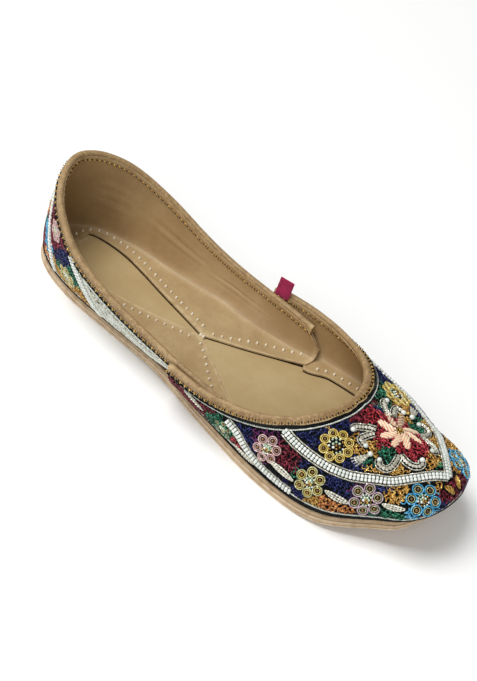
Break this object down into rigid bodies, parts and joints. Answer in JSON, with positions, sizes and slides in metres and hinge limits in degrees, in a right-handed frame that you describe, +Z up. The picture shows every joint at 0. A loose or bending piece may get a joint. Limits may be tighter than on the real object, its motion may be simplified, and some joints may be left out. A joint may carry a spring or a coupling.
{
  "type": "mojari shoe",
  "caption": "Flat slip-on leather mojari with a deep U throat, an embroidered vamp and heel, turned-in margins on the insole and a layered leather sole.",
  "frame": {"origin": "on the ground under the shoe, at the middle of its length and width", "axes": "+X towards the toe, +Y towards the wearer's left, +Z up"},
  "size_m": [0.2457, 0.0886, 0.059],
  "materials": {
    "sole_leather": "undyed tan sole leather, cut edge waxed, fine grain",
    "midsole_leather": "brown split leather, matt cut edge",
    "insole_leather": "smooth beige sock leather with a low sheen",
    "upper_leather": "smooth tan leather, low sheen, hand stitched with white thread",
    "embroidered_cloth": "dark cloth ground closely covered with couched metallic wire, beads and satin stitch in many colours",
    "binding_leather": "folded tan leather binding with a row of fine stitches",
    "tab_cloth": "magenta woven tape, folded"
  },
  "bodies": {
    "root": {"outsole": "sole_leather", "midsole": "midsole_leather", "insole": "insole_leather", "quarter_margin": "upper_leather", "vamp_margin": "upper_leather", "quarter": "upper_leather", "vamp": "embroidered_cloth", "collar_binding": "binding_leather", "throat_binding": "binding_leather", "side_tab": "tab_cloth"}
  },
  "joints": []
}
